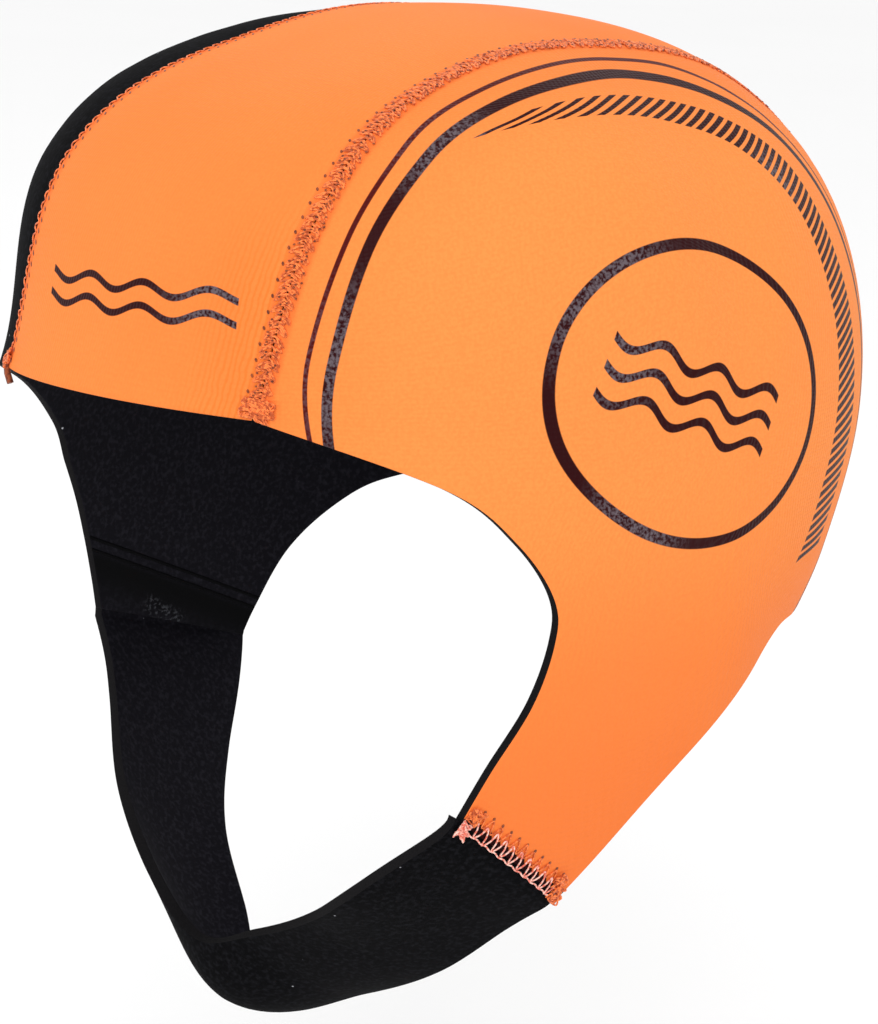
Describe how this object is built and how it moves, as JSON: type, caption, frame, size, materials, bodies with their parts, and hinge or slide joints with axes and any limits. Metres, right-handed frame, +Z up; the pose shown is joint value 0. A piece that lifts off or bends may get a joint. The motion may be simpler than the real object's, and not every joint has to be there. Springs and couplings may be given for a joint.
{
  "type": "neoprene swim cap",
  "caption": "Neoprene swim cap in three panels with ear flaps and a chin strap, kept in the shape that it has when worn.",
  "frame": {"origin": "inside of the crown's top, where the cap sits on the head", "axes": "+Z up, the face looks along -Y and the wearer's left is +X"},
  "size_m": [0.1716, 0.197, 0.2247],
  "materials": {
    "orange_neoprene": "fine orange jersey on neoprene, matt",
    "black_neoprene": "fine black jersey on neoprene, matt",
    "hook_tape": "black hook tape"
  },
  "bodies": {
    "root": {"crown_panel": "orange_neoprene", "left_panel": "orange_neoprene", "right_panel": "black_neoprene", "chin_strap": "black_neoprene", "fastener_patch": "hook_tape"}
  },
  "joints": []
}
